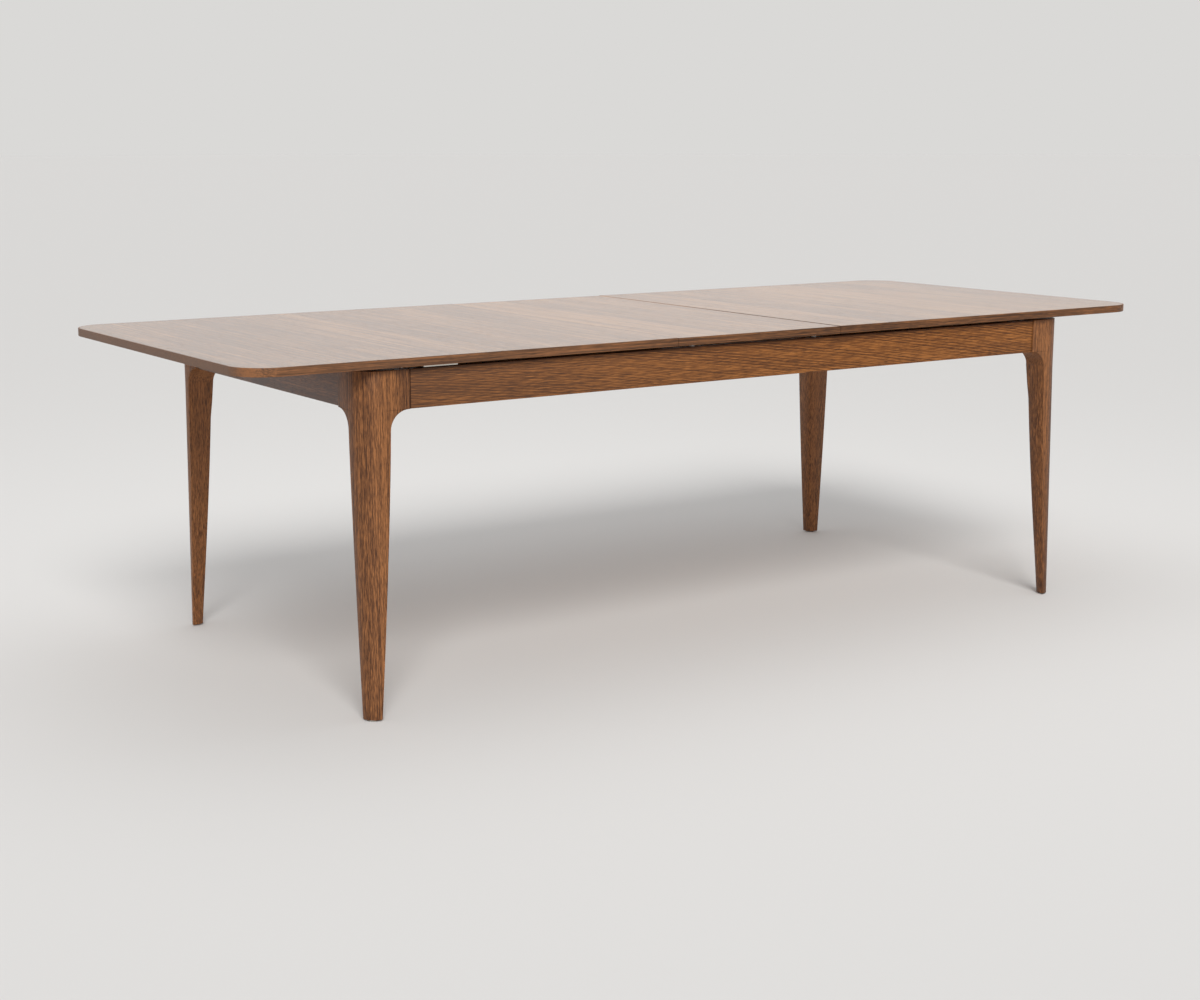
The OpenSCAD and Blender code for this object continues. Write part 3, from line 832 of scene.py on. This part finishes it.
def half_top(word, side):
    """The veneered board of one half and the lipping round three of its sides."""
    body = word + "_top"
    low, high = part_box(word + "_lipping")
    inner_low, inner_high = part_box(word + "_panel")
    seam_x = inner_low.x if side > 0 else inner_high.x

    panel = rounded_half(word + "_board", inner_low, inner_high, side, CORNER_R - LIPPING)
    ease(panel, arris_at("x", seam_x), SEAM_EASE)
    smooth(panel)
    hand_over(panel, top_wood, body, "top_veneer", word + "_panel")

    lipping = rounded_half(word + "_edge", low, high, side, CORNER_R)
    inner_low.z -= OVERCUT
    inner_high.z += OVERCUT
    if side > 0:
        inner_low.x -= OVERCUT
    else:
        inner_high.x += OVERCUT
    core = rounded_half("core", inner_low, inner_high, side, CORNER_R - LIPPING)
    cut_away(lipping, core)

    def outer_arris(edge):
        """A test for the level edges of the faces that point away from the seam."""
        middle = (edge.verts[0].co + edge.verts[1].co) / 2
        from_seam = middle - Vector((seam_x, 0, middle.z))
        faces_out = any(face.normal.dot(from_seam) > SAME for face in edge.link_faces)
        return faces_out and is_level(edge)

    ease(lipping, outer_arris, ROUND_OVER, segments=3, clamp=True)
    smooth(lipping, angle=40)
    hand_over(lipping, edge_wood, body, "edge_wood", word + "_lipping")


def leaf_top():
    """The loose leaf: a veneered board with a lipping along each of its two free edges."""
    low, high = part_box("leaf_panel")
    high.z -= LEAF_SET
    panel = block("leaf_board", low, high)
    ease(panel, arris_at("x", low.x, high.x), SEAM_EASE)
    smooth(panel)
    hand_over(panel, top_wood, "leaf", "top_veneer", "leaf_panel")

    low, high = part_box("leaf_lippings")
    high.z -= LEAF_SET
    front_high = Vector((high.x, low.y + LIPPING, high.z))
    back_low = Vector((low.x, high.y - LIPPING, low.z))
    front = block("leaf_edges", low, front_high)
    back = block("leaf_edge_back", back_low, high)
    take(front)
    back.select_set(True)
    bpy.ops.object.join()
    ease(front, arris_at("y", low.y, high.y), ROUND_OVER, segments=3)
    smooth(front, angle=40)
    hand_over(front, edge_wood, "leaf", "edge_wood", "leaf_lippings")


half_top("left", -1)
half_top("right", 1)
leaf_top()


# ---------------------------------------------------------------- metalwork

STRIP_OUTER = 0.010     # how much shorter than its CAD node a strip is at its outer end
STRIP_INNER = 0.004     # the same at its inner end

for word, low_cut, high_cut in (
    ("left", STRIP_OUTER, STRIP_INNER), ("right", STRIP_INNER, STRIP_OUTER),
):
    low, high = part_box(word + "_strip")
    low.x += low_cut
    high.x -= high_cut
    strip = block(word + "_metal_strip", low, high)
    soften(strip, FINE_ARRIS, segments=3)
    smooth(strip)
    hand_over(strip, aluminium, word + "_top", "aluminium", word + "_strip")

# The CAD nodes that stay: nylon rests and glides, wooden dowels, and steel for the rest.
carried_over = {"leaf_rests": nylon, "foot_glides": nylon, "frame_dowels": inner_wood_y}
for node, thing in nodes.items():
    if not thing.hide_render:
        dress(thing, carried_over.get(node, steel))


# ---------------------------------------------------------------- studio

FLOOR_SIZE = 180
FLOOR_COLOUR = linear(221, 220, 219)
AIR_COLOUR = linear(218, 217, 215)      # what the camera sees behind the floor
AIR_LIGHT = (0.50, 0.50, 0.50)          # what the air sheds on the table
TOWARDS_KEY = Vector((-0.32, -0.71, 0.63))
OVERHEAD_PLACE = Vector((0.3, 0.4, 3.2))
OVERHEAD_AIM = Vector((0.0, 0.0, 0.7))
CAMERA_PLACE = (-2.6753, -3.8145, 1.1869)
CAMERA_HEADING = 33.999                 # degrees to the right of straight across the table
CAMERA_DIP = 11.03                      # degrees below level
SENSOR_W = 36.0                         # millimetres
LENS = 56.727                           # millimetres
FARTHEST_SEEN = 100


def stand(name, data):
    """Puts a lamp or a camera into the scene."""
    holder = bpy.data.objects.new(name, data)
    bpy.context.scene.collection.objects.link(holder)
    return holder


def lay_floor():
    """A plain pale floor."""
    put_down()
    bpy.ops.mesh.primitive_plane_add(size=FLOOR_SIZE, location=(0, 0, 0))
    floor = bpy.context.object
    floor.name = "studio_floor"
    floor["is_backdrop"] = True
    ground = Finish(
        "pale_floor", Base_Color=(*FLOOR_COLOUR, 1), Roughness=0.75, Specular_IOR_Level=0.2)
    dress(floor, ground.material)


def fill_air():
    """An even light all round, which the camera, metal and glass see as a pale backdrop."""
    world = bpy.data.worlds.new("studio_air")
    bpy.context.scene.world = world
    world.use_nodes = True
    air = Strand(world.node_tree)
    seen, gloss, glass = (
        air.add("ShaderNodeLightPath", output=ray)
        for ray in ("Is Camera Ray", "Is Glossy Ray", "Is Transmission Ray"))
    shown = (seen + gloss + glass).clamp().mix(AIR_LIGHT, AIR_COLOUR)
    background = world.node_tree.nodes["Background"]
    world.node_tree.links.new(shown.socket, background.inputs["Color"])
    background.inputs["Strength"].default_value = 1.0


def hang_lamps():
    """A broad soft key from above the front left, and a wide weak lamp over the table."""
    key = stand("soft_key", bpy.data.lights.new("soft_key", "SUN"))
    key.data.energy = 2.3
    key.data.angle = math.radians(28)
    key.data.color = (1, 0.99, 0.97)
    key.rotation_euler = TOWARDS_KEY.to_track_quat("Z", "Y").to_euler()

    overhead = stand("overhead", bpy.data.lights.new("overhead", "AREA"))
    overhead.data.shape = "RECTANGLE"
    overhead.data.size = 3.5
    overhead.data.size_y = 2.5
    overhead.data.energy = 22
    overhead.location = OVERHEAD_PLACE
    overhead.rotation_euler = (OVERHEAD_AIM - OVERHEAD_PLACE).to_track_quat("-Z", "Y").to_euler()


def set_camera():
    """A camera out from the table's front left corner, a little higher than its top."""
    camera = stand("studio_camera", bpy.data.cameras.new("studio_camera"))
    camera.data.sensor_width = SENSOR_W
    camera.data.lens = LENS
    camera.data.clip_end = FARTHEST_SEEN
    camera.location = CAMERA_PLACE
    camera.rotation_euler = (math.radians(90 - CAMERA_DIP), 0, -math.radians(CAMERA_HEADING))
    bpy.context.scene.camera = camera


lay_floor()
fill_air()
hang_lamps()
set_camera()
bpy.context.scene.view_settings.view_transform = "Standard"

low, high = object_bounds()
